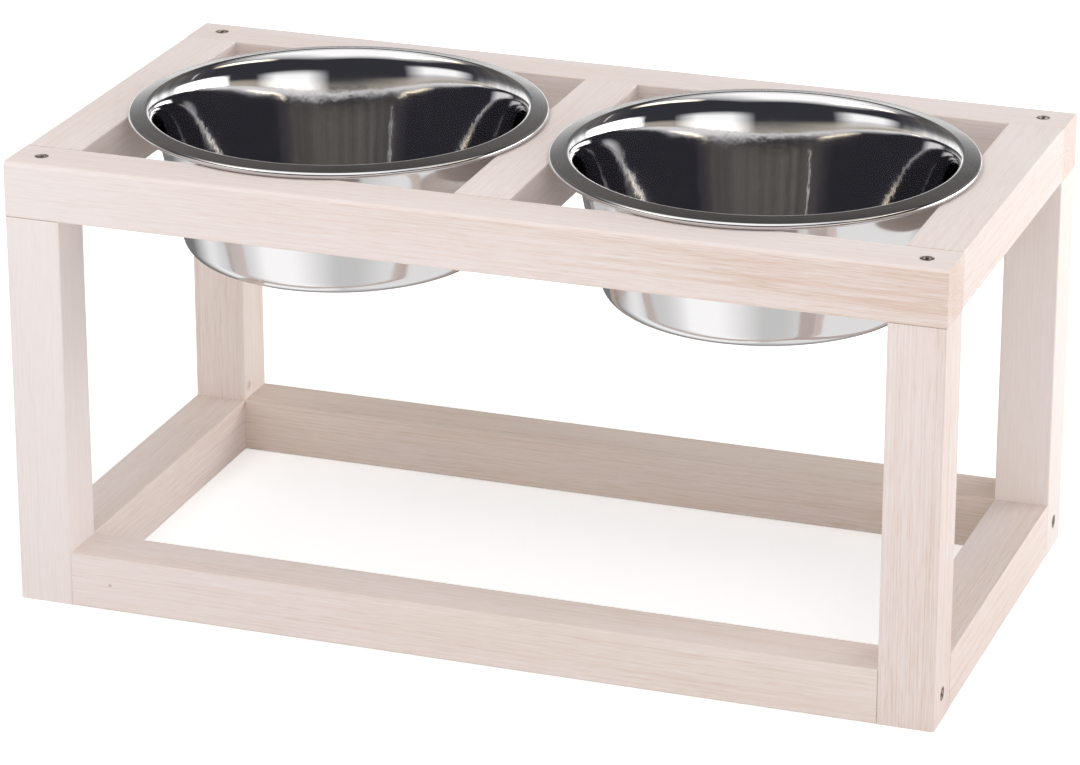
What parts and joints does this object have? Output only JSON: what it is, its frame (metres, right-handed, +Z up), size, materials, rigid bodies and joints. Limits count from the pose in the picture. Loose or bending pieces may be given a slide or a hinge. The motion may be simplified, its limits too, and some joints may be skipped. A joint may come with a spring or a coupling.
{
  "type": "dog feeder stand",
  "caption": "Raised dog feeder: an open rectangular frame of square whitewashed wood battens whose top rails carry lift-out stainless steel bowls by their rims.",
  "frame": {"origin": "centre of the stand's footprint, on the floor it rests on", "axes": "+X along the stand through both bowls, +Y from the front to the rear, +Z up"},
  "size_m": [0.57, 0.302, 0.2838],
  "materials": {
    "whitewashed_wood": "whitewashed softwood, planed, matt",
    "dowel_beech": "plain turned beech",
    "screw_steel": "plated steel, dull",
    "bowl_steel": "pressed stainless steel, polished inside, satin rim"
  },
  "bodies": {
    "stand": {"top_front_rail": "whitewashed_wood", "top_rear_rail": "whitewashed_wood", "top_left_rail": "whitewashed_wood", "top_centre_rail": "whitewashed_wood", "top_right_rail": "whitewashed_wood", "front_left_post": "whitewashed_wood", "front_right_post": "whitewashed_wood", "rear_left_post": "whitewashed_wood", "rear_right_post": "whitewashed_wood", "lower_front_rail": "whitewashed_wood", "lower_rear_rail": "whitewashed_wood", "lower_left_rail": "whitewashed_wood", "lower_right_rail": "whitewashed_wood", "top_left_dowels": "dowel_beech", "top_centre_dowels": "dowel_beech", "top_right_dowels": "dowel_beech", "lower_left_dowels": "dowel_beech", "lower_right_dowels": "dowel_beech", "lower_front_dowels": "dowel_beech", "lower_rear_dowels": "dowel_beech", "top_screws": "screw_steel", "lower_screws": "screw_steel"},
    "left_bowl": {"left_bowl": "bowl_steel"},
    "right_bowl": {"right_bowl": "bowl_steel"}
  },
  "joints": [
    {"name": "left_bowl_lift", "type": "slide", "parent": "stand", "child": "left_bowl", "axis": [0, 0, 1], "range_m": [0, 0.12]},
    {"name": "right_bowl_lift", "type": "slide", "parent": "stand", "child": "right_bowl", "axis": [0, 0, 1], "range_m": [0, 0.12]}
  ]
}
